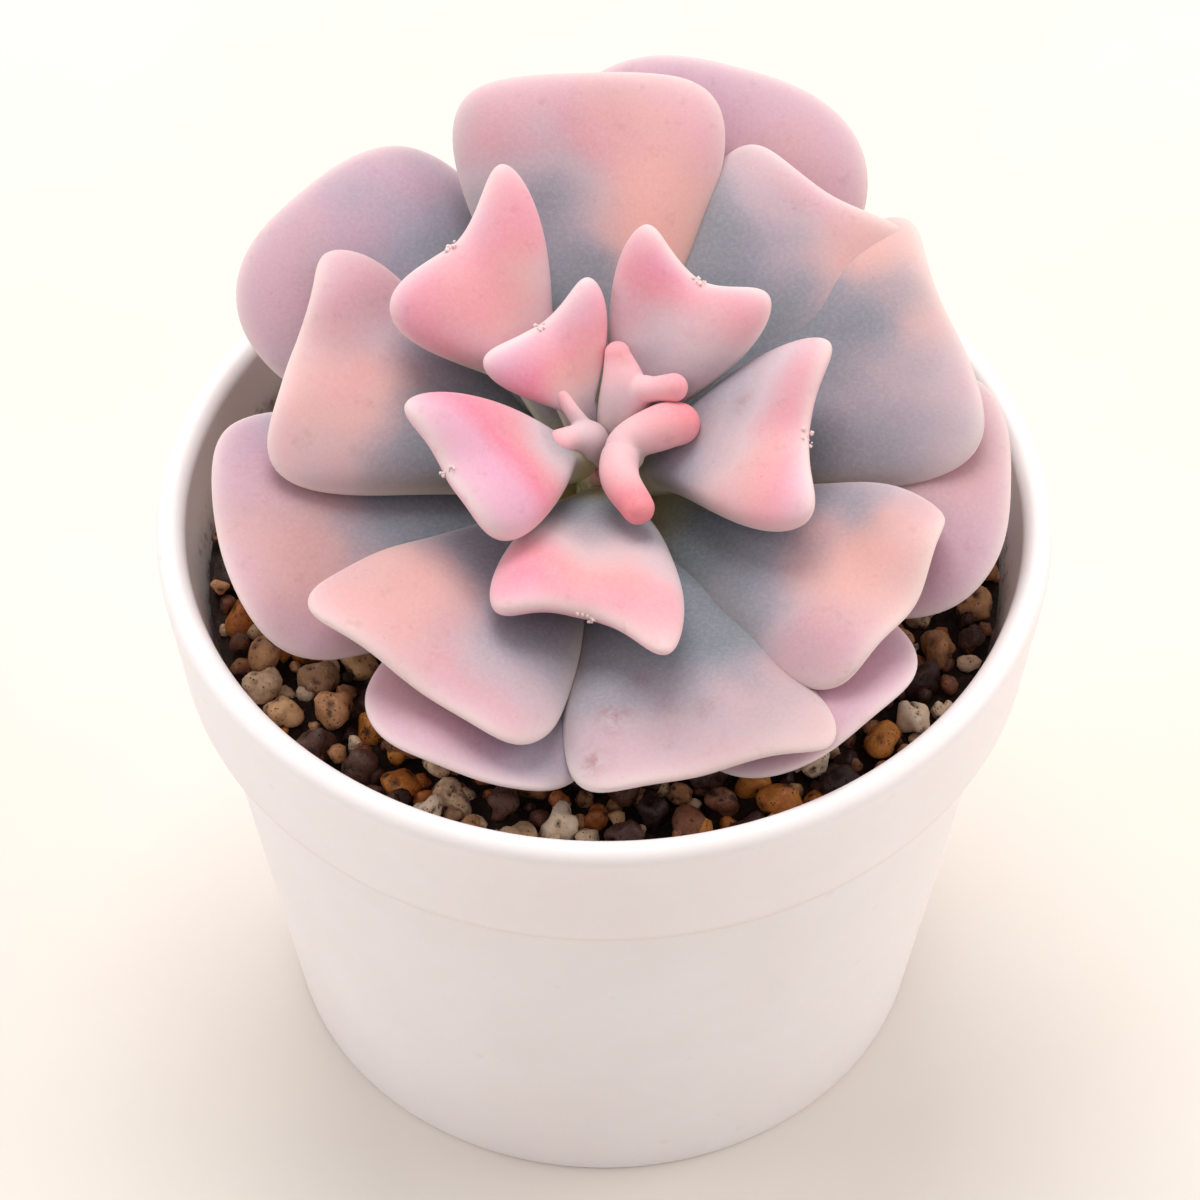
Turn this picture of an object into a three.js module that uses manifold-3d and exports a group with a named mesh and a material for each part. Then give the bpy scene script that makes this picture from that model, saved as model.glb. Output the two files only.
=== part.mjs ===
// A potted cubic frost echeveria: a tapered pot with a collar, gritty soil, a short stem
// and a rosette of fleshy leaves that leans to the front.
// Millimetres, +Z up. The origin is the middle of the underside of the pot, the front is -Y.

import * as THREE from 'three';
import { mergeVertices } from 'three/addons/utils/BufferGeometryUtils.js';
import Module from 'manifold-3d';

const wasm = await Module();
wasm.setup();

// Driving dimensions
const clearance = 0.3; // gap between pieces that touch
const pot = {
  rimRadius: 45, // widest circle of the rim
  rimTop: 67.3,
  wall: 3,
  floor: 3,
  baseRadius: 33.8,
  neckRadius: 41.1, // body just under the collar
  collarRadius: 43.5, // lower edge of the collar
  collarBottom: 51.9,
  sides: 44,
};
const drain = { radius: 1.9, ring: 17, count: 5, sides: 10 };
const soilTop = 58.2; // bedding level, the granules stand out of it
const granules = { count: 108, smallest: 2.7, largest: 3.6, seed: 11 };
const rosette = { foot: 61, back: 3, lean: 14 }; // height, distance behind the middle, lean in degrees
const stem = { sides: 14, bottom: -5.5, buds: 3 };
const heartSteps = 2; // spans between two points of a limb

// Proportions of the leaves of each tier. A leaf can have its own stalk, flare and nose.
// start: distance of the root from the stem's axis, neck: root width over full width,
// stalk: share of the length that stays as narrow, flare: how late it widens,
// square: exponent of the rounded outline, arch and curl: bend across and along in degrees,
// blunt: how steeply the faces meet at the edge, nose: how far the middle of the tip stands out,
// swell: extra thickness at the front corners, dish: depth of the hollow between them
const tiers = {
  outer: {
    start: 2.6, neck: 0.34, stalk: 0, flare: 1.4, square: 3, arch: 12, curl: 10, thick: 5, blunt: 4,
    nose: 0.02, swell: 0, dish: 0.5, grid: 6,
  },
  middle: {
    start: 2.2, neck: 0.22, stalk: 0, flare: 1.7, square: 5, arch: 14, curl: 8, thick: 5.8, blunt: 4.5,
    nose: 0.05, swell: 0.1, dish: 1.1, grid: 8,
  },
  inner: {
    start: 1.4, neck: 0.2, stalk: 0.25, flare: 1.2, square: 3.6, arch: 18, curl: 4, thick: 6, blunt: 5,
    nose: 0, swell: 0.4, dish: 1.4, grid: 8,
  },
};

// Heart leaves are the youngest and stubby, so each is a few fat limbs fused together.
// A limb runs through these points: [x, y, z, radius], in the frame of the whole part.
const heartLeaves = [
  {
    name: 'leaf_heart_1',
    limbs: [
      [[0.5, 0.4, 74, 1], [1.5, 1.4, 78, 2.3], [1.9, 3.2, 81.3, 2.3], [1.3, 5.2, 84, 1.3]],
      [[1.8, 1.4, 78.5, 1.7], [3.4, 2.2, 81.6, 1.6], [5, 1.6, 82.8, 1.25], [6.8, 1.3, 83.3, 1.45]],
    ],
  },
  {
    name: 'leaf_heart_2',
    limbs: [
      [[0.9, -1, 73.8, 1.1], [1.7, -2, 76.2, 1.5], [2.2, -3.2, 78.4, 1.8]],
      [
        [7.3, -1.05, 80.6, 2.15], [5.6, -1.6, 80.7, 2.3], [2.2, -2.9, 79.6, 1.95],
        [1.5, -6.7, 79.1, 1.95], [3.3, -10.6, 78.8, 1.65],
      ],
    ],
  },
  {
    name: 'leaf_heart_3',
    limbs: [
      [[-0.5, -0.3, 74, 0.9], [-1.5, -1, 77.9, 2.1], [-3, -1.8, 79.2, 1.4], [-4.6, -2.8, 79.6, 1.4]],
      [[-1.5, -0.2, 78, 1.1], [-3, 0.7, 80.2, 0.8], [-4.2, 1.9, 81.4, 0.75]],
    ],
  },
];

// Grown leaves, from the top of the stem down, as the plant grew them
// turn: azimuth, lift: slope above the rosette's plane, root: height on the stem,
// left and right: how far each front corner runs on past the middle, as a share of the length
const bladeLeaves = [
  {
    name: 'leaf_inner_1', turn: 121.5, lift: 48, root: 11.5, length: 15.2, width: 16.8,
    left: 0.16, right: 0.44, stalk: 0.45, flare: 1.2,
  },
  {
    name: 'leaf_inner_2', turn: 57.5, lift: 42, root: 10.5, length: 21, width: 18.8,
    left: 0.36, right: 0.33, stalk: 0.25, flare: 1.2,
  },
  {
    name: 'leaf_inner_3', turn: -5, lift: 36, root: 10, length: 22.2, width: 24,
    left: 0.34, right: 0.26, stalk: 0.25, flare: 1.3,
  },
  {
    name: 'leaf_inner_4', turn: -155.5, lift: 36, root: 14.4, length: 18.2, width: 19,
    left: 0, right: 0.34, stalk: 0.25, flare: 0.9,
  },
  {
    name: 'leaf_inner_5', turn: 127.8, lift: 31, root: 9.5, length: 26.8, width: 22.5,
    left: 0.05, right: 0.42, stalk: 0.42, flare: 1.2,
  },
  {
    name: 'leaf_inner_6', turn: -95, lift: 32, root: 9.5, length: 22, width: 20.8,
    left: 0.76, right: 0.28, stalk: 0.05, flare: 1,
  },
  {
    name: 'leaf_middle_1', turn: 92.7, lift: 17, root: 7, length: 39.4, width: 29.6,
    left: 0.03, right: 0.02, flare: 1.9, nose: 0.05,
  },
  {
    name: 'leaf_middle_2', turn: 52, lift: 15, root: 6.5, length: 35.5, width: 24.6,
    left: 0.06, right: 0.1, nose: 0.02,
  },
  {
    name: 'leaf_middle_3', turn: 161, lift: 17, root: 7, length: 31, width: 28,
    left: 0, right: 0.13, flare: 2,
  },
  {
    name: 'leaf_middle_4', turn: -32, lift: 19, root: 6.5, length: 32.6, width: 26,
    left: 0, right: 0.05, nose: 0.08,
  },
  {
    name: 'leaf_middle_5', turn: -125, lift: 20, root: 7, length: 31.8, width: 29.4,
    left: 0.08, right: 0.05,
  },
  { name: 'leaf_middle_6', turn: 22, lift: 16, root: 6, length: 35.5, width: 30.5, left: 0.12, right: 0 },
  {
    name: 'leaf_middle_7', turn: -74, lift: 17, root: 6, length: 35.6, width: 27.4,
    left: 0.15, right: 0.06,
  },
  { name: 'leaf_outer_1', turn: 135.5, lift: 12, root: 3.5, length: 41.6, width: 33, left: 0, right: 0 },
  { name: 'leaf_outer_2', turn: 73, lift: 12, root: 3, length: 45.5, width: 37, left: 0, right: 0 },
  { name: 'leaf_outer_3', turn: -168.5, lift: 13, root: 3, length: 37.2, width: 32, left: 0, right: 0 },
  { name: 'leaf_outer_4', turn: -3, lift: 12, root: 3, length: 38.5, width: 31, left: 0, right: 0 },
  { name: 'leaf_outer_5', turn: -52, lift: 16, root: 2.8, length: 38.5, width: 27, left: 0, right: 0 },
  { name: 'leaf_outer_6', turn: -113, lift: 17, root: 3, length: 37.5, width: 26, left: 0, right: 0 },
];

const radians = THREE.MathUtils.degToRad;
const clamp = THREE.MathUtils.clamp;
const tierColours = { outer: 0xb7a3b0, middle: 0xc9a9ae, inner: 0xd6a2b0, heart: 0xe4849a };

// A closed mesh with its shared corners merged, as a solid that can be joined and cut
function toSolid(geometry) {
  const bare = geometry.clone();
  bare.deleteAttribute('normal');
  bare.deleteAttribute('uv');
  const merged = mergeVertices(bare, 1e-4);
  const corners = merged.getIndex().array;
  const kept = [];
  for (let i = 0; i < corners.length; i += 3) {
    const [a, b, c] = corners.slice(i, i + 3);
    if (a !== b && b !== c && c !== a) kept.push(a, b, c);
  }
  const mesh = new wasm.Mesh({
    numProp: 3,
    vertProperties: new Float32Array(merged.getAttribute('position').array),
    triVerts: new Uint32Array(kept),
  });
  return new wasm.Manifold(mesh);
}

// A solid back as a three.js geometry
function toGeometry(solid) {
  const mesh = solid.getMesh();
  const geometry = new THREE.BufferGeometry();
  geometry.setAttribute('position', new THREE.BufferAttribute(mesh.vertProperties, 3));
  geometry.setIndex(new THREE.BufferAttribute(mesh.triVerts, 1));
  geometry.computeVertexNormals();
  return geometry;
}

// The biggest body of a cut solid, without loose scraps
function biggestBody(solid) {
  const bodies = solid.decompose();
  return bodies.reduce((best, body) => (body.volume() > best.volume() ? body : best));
}

// A profile of [radius, height] pairs turned round the Z axis
function turned(profile, sides) {
  const points = profile.map(([radius, height]) => new THREE.Vector2(radius, height));
  return new THREE.LatheGeometry(points, sides).rotateX(Math.PI / 2);
}

// Points of a round from one angle to another, in a profile
function round(centreRadius, centreHeight, radius, fromDegrees, toDegrees, steps) {
  const points = [];
  for (let i = 0; i <= steps; i += 1) {
    const angle = radians(fromDegrees + ((toDegrees - fromDegrees) * i) / steps);
    points.push([centreRadius + radius * Math.cos(angle), centreHeight + radius * Math.sin(angle)]);
  }
  return points;
}

// Inner wall of the pot: its radius falls evenly from the rim to the floor
const mouthRadius = pot.rimRadius - pot.wall;
const floorRadius = pot.baseRadius - pot.wall + 0.2;
function innerRadius(height) {
  const share = (height - pot.floor) / (pot.rimTop - pot.floor);
  return floorRadius + (mouthRadius - floorRadius) * share;
}

function makePot() {
  const baseRound = 0.6;
  const rimRound = 1.5;
  const collarRound = 1.1;
  const footFillet = 1.5;
  const profile = [
    [0, 0],
    ...round(pot.baseRadius - baseRound, baseRound, baseRound, -90, 0, 3),
    [pot.neckRadius, pot.collarBottom - 0.6],
    ...round(pot.collarRadius - collarRound, pot.collarBottom + collarRound, collarRound, -90, 0, 3),
    ...round(pot.rimRadius - rimRound, pot.rimTop - rimRound, rimRound, 0, 180, 6),
    [innerRadius(pot.floor + footFillet), pot.floor + footFillet],
    [innerRadius(pot.floor) - footFillet, pot.floor],
    [0, pot.floor],
  ];
  let body = toSolid(turned(profile, pot.sides));
  for (let i = 0; i < drain.count; i += 1) {
    const angle = (2 * Math.PI * (i + 0.5)) / drain.count;
    const hole = new THREE.CylinderGeometry(drain.radius, drain.radius, pot.floor * 3, drain.sides);
    hole.rotateX(Math.PI / 2);
    hole.translate(drain.ring * Math.cos(angle), drain.ring * Math.sin(angle), pot.floor / 2);
    body = body.subtract(toSolid(hole));
  }
  return body;
}

// Height and lean of the rosette over the soil
const rosetteGroup = new THREE.Group();
rosetteGroup.position.set(0, rosette.back, rosette.foot);
rosetteGroup.rotation.x = radians(rosette.lean);
rosetteGroup.updateMatrix();

// The stem thins towards the growing tip, which ends in three tiny leaf buds
function makeStem(grow) {
  const profile = [
    [0, stem.bottom - grow],
    [4.0 + grow, stem.bottom - grow],
    [3.9 + grow, 3],
    [3.2 + grow, 7],
    [2.3 + grow, 10],
    [1.5 + grow, 12.6],
    [0, 14 + grow],
  ];
  let body = toSolid(turned(profile, stem.sides));
  for (let i = 0; i < stem.buds; i += 1) {
    const bud = new THREE.IcosahedronGeometry(0.95 + grow, 1);
    bud.scale(1, 0.85, 1.6);
    bud.rotateY(radians(24));
    bud.translate(0.75, 0, 13.6);
    bud.rotateZ(radians(20 + (360 * i) / stem.buds));
    body = body.add(toSolid(bud));
  }
  return body;
}

// A fleshy leaf. Its outline is a disc pressed towards a square, fanned out from a narrow
// neck, with its front corners drawn on. The two faces meet at the outline, where the points
// crowd together so that the edge is round. Then the blade is bent over a cylinder across its
// width and along its length.
function bladeSolid(leaf, grow) {
  const tier = tiers[leaf.name.split('_')[1]];
  const { stalk, flare, nose } = { ...tier, ...leaf };
  const n = tier.grid;
  const halfWidth = leaf.width / 2;
  const archRadius = halfWidth / radians(tier.arch);
  const curlRadius = leaf.length / radians(tier.curl);

  function point(i, j, side) {
    const a = (2 * i) / n - 1;
    const b = (2 * j) / n - 1;
    const p = a * Math.sqrt(1 - (b * b) / 2);
    const q = b * Math.sqrt(1 - (a * a) / 2);
    const flat = Math.min(Math.hypot(p, q), 1);
    const r = Math.sin((flat * Math.PI) / 2);
    const crowd = flat > 0 ? r / flat : 1;
    const angle = Math.atan2(q, p);
    const cosine = Math.abs(Math.cos(angle)) ** tier.square;
    const sine = Math.abs(Math.sin(angle)) ** tier.square;
    const press = crowd * (1 + ((cosine + sine) ** (-1 / tier.square) - 1) * r * r);
    const across = p * press;
    const along = (q * press + 1) / 2;
    const past = clamp((along - stalk) / (1 - stalk), 0, 1);
    const fan = tier.neck + (1 - tier.neck) * Math.sin((past * Math.PI) / 2) ** flare;
    const y = across * (halfWidth * fan + grow);
    const horns = leaf.left * clamp(across, 0, 1) ** 1.7 + leaf.right * clamp(-across, 0, 1) ** 1.7;
    const front = horns + nose * (1 - across * across);
    const x = along * leaf.length * (1 + front * along * along) + grow * (2 * along - 1);
    const fullness = Math.sqrt(1 - r ** tier.blunt) * (0.72 + 0.28 * Math.sin(Math.PI * along));
    const plump = fullness * (1 + tier.swell * (across * along) ** 2);
    const hollow = tier.dish * along ** 3 * Math.exp(-((across / 0.4) ** 2));
    const z = side * (tier.thick / 2 + grow) * plump - hollow;
    const acrossAngle = y / archRadius;
    const archedZ = (archRadius + z) * Math.cos(acrossAngle) - archRadius;
    const alongAngle = x / curlRadius;
    return [
      (curlRadius - archedZ) * Math.sin(alongAngle),
      (archRadius + z) * Math.sin(acrossAngle),
      curlRadius - (curlRadius - archedZ) * Math.cos(alongAngle),
    ];
  }

  const positions = [];
  const faces = [];
  for (const side of [-1, 1]) {
    for (let i = 0; i <= n; i += 1) {
      for (let j = 0; j <= n; j += 1) positions.push(...point(i, j, side));
    }
  }
  const sheet = (n + 1) ** 2;
  for (let i = 0; i < n; i += 1) {
    for (let j = 0; j < n; j += 1) {
      const a = i * (n + 1) + j;
      const [b, c, d] = [a + n + 1, a + n + 2, a + 1];
      const rising = i < n / 2 === j < n / 2;
      const pair = rising ? [a, b, c, a, c, d] : [a, b, d, b, c, d];
      faces.push(...pair);
      faces.push(...pair.map((corner) => corner + sheet).reverse());
    }
  }
  const geometry = new THREE.BufferGeometry();
  geometry.setAttribute('position', new THREE.Float32BufferAttribute(positions, 3));
  geometry.setIndex(faces);
  const place = new THREE.Matrix4().makeRotationZ(radians(leaf.turn));
  place.multiply(new THREE.Matrix4().makeTranslation(tier.start, 0, leaf.root));
  place.multiply(new THREE.Matrix4().makeRotationY(radians(-leaf.lift)));
  return toSolid(geometry.applyMatrix4(place));
}

// A heart leaf: balls along each limb's curve, joined in pairs by their hull
function heartSolid(leaf, grow) {
  const spans = [];
  for (const limb of leaf.limbs) {
    const centres = limb.map(([x, y, z]) => new THREE.Vector3(x, y, z));
    const curve = new THREE.CatmullRomCurve3(centres, false, 'catmullrom', 0.5);
    const steps = heartSteps * (limb.length - 1);
    const balls = [];
    for (let i = 0; i <= steps; i += 1) {
      const before = Math.min(Math.floor(i / heartSteps), limb.length - 2);
      const share = i / heartSteps - before;
      const radius = THREE.MathUtils.lerp(limb[before][3], limb[before + 1][3], share);
      const ball = new THREE.IcosahedronGeometry(radius + grow, 1);
      const { x, y, z } = curve.getPoint(i / steps);
      balls.push(toSolid(ball.translate(x, y, z)));
    }
    for (let i = 0; i < steps; i += 1) spans.push(wasm.Manifold.hull([balls[i], balls[i + 1]]));
  }
  const fused = toGeometry(wasm.Manifold.union(spans));
  return toSolid(fused.applyMatrix4(rosetteGroup.matrix.clone().invert()));
}

// Repeatable random numbers from 0 to 1
function seededRandom(seed) {
  let state = seed;
  return () => {
    state = (state * 1664525 + 1013904223) % 4294967296;
    return state / 4294967296;
  };
}

// Soil to the level of the bedding, with lumpy granules half sunk in it on a sunflower
// spiral, and a plain hole for the stem
function makeSoil() {
  const bottom = pot.floor + clearance;
  const bottomRadius = innerRadius(bottom) - 2;
  const profile = [
    [0, bottom],
    [bottomRadius, bottom],
    [innerRadius(bottom + 2) - clearance, bottom + 2],
    [innerRadius(soilTop) - clearance, soilTop],
    [0, soilTop],
  ];
  let body = toSolid(turned(profile, pot.sides));
  const random = seededRandom(granules.seed);
  const reach = innerRadius(soilTop) - clearance - granules.largest;
  const goldenAngle = Math.PI * (3 - Math.sqrt(5));
  for (let i = 0; i < granules.count; i += 1) {
    const size = THREE.MathUtils.lerp(granules.smallest, granules.largest, random());
    const distance = reach * Math.sqrt((i + 0.5) / granules.count);
    const angle = i * goldenAngle + 0.12 * random();
    const lump = new THREE.IcosahedronGeometry(size, 0);
    lump.rotateX(2 * Math.PI * random());
    lump.rotateZ(2 * Math.PI * random());
    lump.scale(1, 0.85 + 0.3 * random(), 0.85);
    lump.translate(distance * Math.cos(angle), distance * Math.sin(angle), soilTop + 0.6 * random());
    body = body.add(toSolid(lump));
  }
  const stemHole = toGeometry(makeStem(clearance)).applyMatrix4(rosetteGroup.matrix);
  return biggestBody(body.subtract(toSolid(stemHole)));
}

// Leaves from the heart outwards: each is cut clear of the stem and of the leaves above it
function makeLeaves() {
  const stemSpace = makeStem(clearance);
  const placed = [];
  return [...heartLeaves, ...bladeLeaves].map((leaf) => {
    const shape = leaf.limbs ? heartSolid : bladeSolid;
    let body = shape(leaf, 0).subtract(stemSpace);
    for (const upper of placed) body = body.subtract(upper);
    placed.push(shape(leaf, clearance));
    return { name: leaf.name, colour: tierColours[leaf.name.split('_')[1]], body: biggestBody(body) };
  });
}

function makeMesh(name, solid, colour, roughness) {
  const material = new THREE.MeshStandardMaterial({ color: colour, roughness, metalness: 0 });
  const mesh = new THREE.Mesh(toGeometry(solid), material);
  mesh.name = name;
  return mesh;
}

const plant = new THREE.Group();
plant.add(makeMesh('pot', makePot(), 0xf1ece7, 0.35));
plant.add(makeMesh('soil', makeSoil(), 0x6b5240, 0.95));
rosetteGroup.add(makeMesh('stem', makeStem(0), 0x9da283, 0.7));
for (const { name, colour, body } of makeLeaves()) rosetteGroup.add(makeMesh(name, body, colour, 0.65));
plant.add(rosetteGroup);

export default plant;
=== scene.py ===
import math

import bmesh
import bpy
import numpy as np
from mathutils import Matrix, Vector


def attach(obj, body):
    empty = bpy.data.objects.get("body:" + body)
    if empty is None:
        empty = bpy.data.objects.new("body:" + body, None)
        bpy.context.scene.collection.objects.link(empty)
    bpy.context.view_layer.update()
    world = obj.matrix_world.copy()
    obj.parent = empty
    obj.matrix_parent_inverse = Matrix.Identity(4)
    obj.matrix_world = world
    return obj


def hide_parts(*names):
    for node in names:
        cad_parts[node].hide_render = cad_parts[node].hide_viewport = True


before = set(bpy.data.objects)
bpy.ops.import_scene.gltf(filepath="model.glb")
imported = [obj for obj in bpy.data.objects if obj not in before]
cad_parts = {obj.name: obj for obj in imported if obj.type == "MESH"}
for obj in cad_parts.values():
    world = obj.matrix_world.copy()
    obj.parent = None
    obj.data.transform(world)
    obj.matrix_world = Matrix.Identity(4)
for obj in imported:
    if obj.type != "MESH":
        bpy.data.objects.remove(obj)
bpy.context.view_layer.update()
mm = 0.001  # shapes are worked out in millimetres and put into meshes in metres
print("frame loaded:", len(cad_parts), "nodes")


# Node wiring

def tone(code):  # a colour written as on the web, in linear light
    parts = [int(code[i:i + 2], 16) / 255 for i in (0, 2, 4)]
    return (*[((c + 0.055) / 1.055) ** 2.4 if c > 0.04045 else c / 12.92 for c in parts], 1)


class Wire:  # an output socket of a material, with arithmetic
    def __init__(self, tree, socket=None):
        self.tree = tree
        self.socket = socket

    def node(self, kind, settings=None, inputs=None, output=0):
        made = self.tree.nodes.new(kind)
        for name, value in (settings or {}).items():
            if name == "stops":  # of a colour ramp: pairs of place and colour
                ramp = made.color_ramp.elements
                while len(ramp) < len(value):
                    ramp.new(1)
                for stop, (place, colour) in zip(ramp, value):
                    stop.position = place
                    stop.color = colour
            else:
                setattr(made, name, value)
        for name, value in (inputs or {}).items():
            if isinstance(value, Wire):
                self.tree.links.new(value.socket, made.inputs[name])
            else:
                made.inputs[name].default_value = value
        return Wire(self.tree, made.outputs[output])

    def maths(self, operation, first, second=0.0):
        return self.node("ShaderNodeMath", {"operation": operation}, {0: first, 1: second})

    def __add__(self, other):
        return self.maths("ADD", self, other)

    def __radd__(self, other):
        return self.maths("ADD", other, self)

    def __sub__(self, other):
        return self.maths("SUBTRACT", self, other)

    def __rsub__(self, other):
        return self.maths("SUBTRACT", other, self)

    def __mul__(self, other):
        return self.maths("MULTIPLY", self, other)

    def __rmul__(self, other):
        return self.maths("MULTIPLY", other, self)

    def __pow__(self, power):
        return self.maths("POWER", self, power)

    def size(self):
        return self.maths("ABSOLUTE", self)

    def rise(self, low, high):  # 0 up to low, 1 from high, smooth between
        limits = {"Value": self, "From Min": low, "From Max": high}
        return self.node("ShaderNodeMapRange", {"interpolation_type": "SMOOTHSTEP"}, limits)

    def colours(self, *stops):  # a ramp over this value
        return self.node("ShaderNodeValToRGB", {"stops": stops}, {0: self})

    def blend(self, first, second):  # from the first colour to the second by this value
        ends = {0: self, 6: first, 7: second}
        return self.node("ShaderNodeMix", {"data_type": "RGBA"}, ends, output=2)


class Finish:  # a material under way: its shader, and a place on the part in mm
    def __init__(self, name, fixed):
        self.material = bpy.data.materials.new(name)
        self.material.use_nodes = True
        tree = self.material.node_tree
        self.shader = tree.nodes["Principled BSDF"]
        for socket, value in fixed.items():
            self.shader.inputs[socket].default_value = value
        self.start = Wire(tree)
        metres = self.start.node("ShaderNodeTexCoord", output="Object")
        scaled = {0: metres, "Scale": 1 / mm}
        self.place = self.start.node("ShaderNodeVectorMath", {"operation": "SCALE"}, scaled)

    def read(self, attribute):
        return self.start.node("ShaderNodeAttribute", {"attribute_name": attribute}, output="Fac")

    def height(self):
        return self.start.node("ShaderNodeSeparateXYZ", None, {0: self.place}, output="Z")

    def noise(self, grain, detail=3.0, roughness=0.5):  # grain: size of a lump in mm
        values = {"Vector": self.place, "Scale": 1 / grain, "Detail": detail, "Roughness": roughness}
        return self.start.node("ShaderNodeTexNoise", None, values)

    def cells(self, grain):  # distance from the nearest of random points, grain mm apart
        values = {"Vector": self.place, "Scale": 1 / grain}
        return self.start.node("ShaderNodeTexVoronoi", None, values, "Distance")

    def relief(self, height, depth, strength):  # depth in mm
        values = {"Height": height, "Distance": depth * mm, "Strength": strength}
        return self.start.node("ShaderNodeBump", None, values)

    def feed(self, **wires):
        for name, wire in wires.items():
            socket = {"colour": "Base Color", "roughness": "Roughness", "normal": "Normal"}[name]
            self.start.tree.links.new(wire.socket, self.shader.inputs[socket])
        return self.material


# Making pieces

def writeMarks(mesh, marks):  # values for each point, which materials read by their names
    for label, values in marks.items():
        layer = mesh.attributes.new(label, "FLOAT", "POINT")
        layer.data.foreach_set("value", np.ascontiguousarray(values, np.float32).ravel())


def addPiece(name, points, faces, material, nodes=(), slot=None, marks=None):
    mesh = bpy.data.meshes.new(name)
    mesh.from_pydata((points * mm).tolist(), [], faces.tolist())
    writeMarks(mesh, marks or {})
    mesh.shade_smooth()
    mesh.materials.append(material)
    piece = bpy.data.objects.new(name, mesh)
    bpy.context.collection.objects.link(piece)
    if slot:
        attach(piece, "root")
    if nodes:
        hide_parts(*nodes)
    return piece


# An uneven field: the sum of sine waves with random directions and phases, of spread about 1
def waves(points, length, seed, count=10):
    rng = np.random.default_rng(seed)
    ways = rng.normal(size=(count, points.shape[-1]))
    ways /= np.linalg.norm(ways, axis=1, keepdims=True)
    ways *= 2 * np.pi / (length * rng.uniform(0.7, 1.6, (count, 1)))
    shifts = rng.uniform(0, 2 * np.pi, count)
    return np.sin(points @ ways.T + shifts).sum(-1) / math.sqrt(count / 2)


def smoothRise(values, low, high):
    share = np.clip((values - low) / (high - low), 0, 1)
    return share * share * (3 - 2 * share)


# A round of a profile: a circle's points from one angle to another, in degrees
def arc(radius, height, size, start, end, steps):
    angles = np.radians(np.linspace(start, end, steps + 1))
    return np.stack([radius + size * np.cos(angles), height + size * np.sin(angles)], -1)


# Adds points to the straight stretches of a profile, so that no step is longer than the spacing
def fillProfile(profile, spacing):
    steps = np.linalg.norm(np.diff(profile, axis=0), axis=1)
    counts = np.maximum(1, np.ceil(steps / spacing)).astype(int)
    runs = [np.linspace(a, b, n, endpoint=False) for a, b, n in zip(profile, profile[1:], counts)]
    return np.vstack([*runs, profile[-1:]])


# A profile that starts and ends on the axis, turned round Z: rings of points with one at each pole
def turned(profile, sides):
    angles = np.linspace(0, 2 * np.pi, sides, endpoint=False)
    rings = profile[1:-1]
    ringPoints = np.stack([
        rings[:, :1] * np.cos(angles),
        rings[:, :1] * np.sin(angles),
        np.repeat(rings[:, 1:], sides, 1),
    ], -1).reshape(-1, 3)
    poles = np.array([[0, 0, profile[0, 1]], [0, 0, profile[-1, 1]]])
    points = np.vstack([ringPoints, poles])
    ring, step = np.meshgrid(np.arange(len(rings) - 1), np.arange(sides), indexing="ij")
    following = (step + 1) % sides
    quads = np.stack([ring * sides + step, ring * sides + following,
                      (ring + 1) * sides + following, (ring + 1) * sides + step], -1).reshape(-1, 4)
    around = np.arange(sides)
    last = (len(rings) - 1) * sides
    firstPole, lastPole = len(points) - 2, len(points) - 1
    caps = [np.stack([np.full(sides, firstPole), (around + 1) % sides, around], -1),
            np.stack([np.full(sides, lastPole), last + around, last + (around + 1) % sides], -1)]
    return points, quads, np.vstack(caps)


class Faces:  # quads and triangles together, as lists for a mesh
    def __init__(self, *groups):
        self.groups = groups

    def tolist(self):
        return [face for group in self.groups for face in group.tolist()]


# Pot

potSize = dict(
    rimRadius=45, rimTop=67.3, wall=3, floor=3, baseRadius=33.8, neckRadius=41.1,
    collarRadius=43.5, collarBottom=51.9, baseRound=0.6, collarRound=1.1, rimRound=1.5,
    footFillet=1.5, seat=0.8, thinning=0.2, sides=288, spacing=2.5,
)
# collarShade: heights from the collar's lower edge between which its painted shade fades in and out,
# stain: depths under the rim at which the soil's mark ends and is full, into: how far into the wall
# it reaches
potMarks = dict(collarShade=(-1.5, -0.3, 0.4, 1.5), stain=(4.8, 7.8), into=0.3)
# the third tone is painted shade under the collar's lower edge, and also the colour of the plastic's small
# specks
potTones = dict(low="f7eff0", high="fcf6f8", collarShade="d3bfae", stain="8a6e58")
drainSize = dict(radius=1.9, ring=17, count=5, sides=32, below=-2, above=6)
mouthRadius = potSize["rimRadius"] - potSize["wall"]
floorRadius = potSize["baseRadius"] - potSize["wall"] + potSize["thinning"]


def innerRadius(height):  # the inner wall widens evenly from the floor to the rim
    share = (height - potSize["floor"]) / (potSize["rimTop"] - potSize["floor"])
    return floorRadius + (mouthRadius - floorRadius) * share


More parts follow.
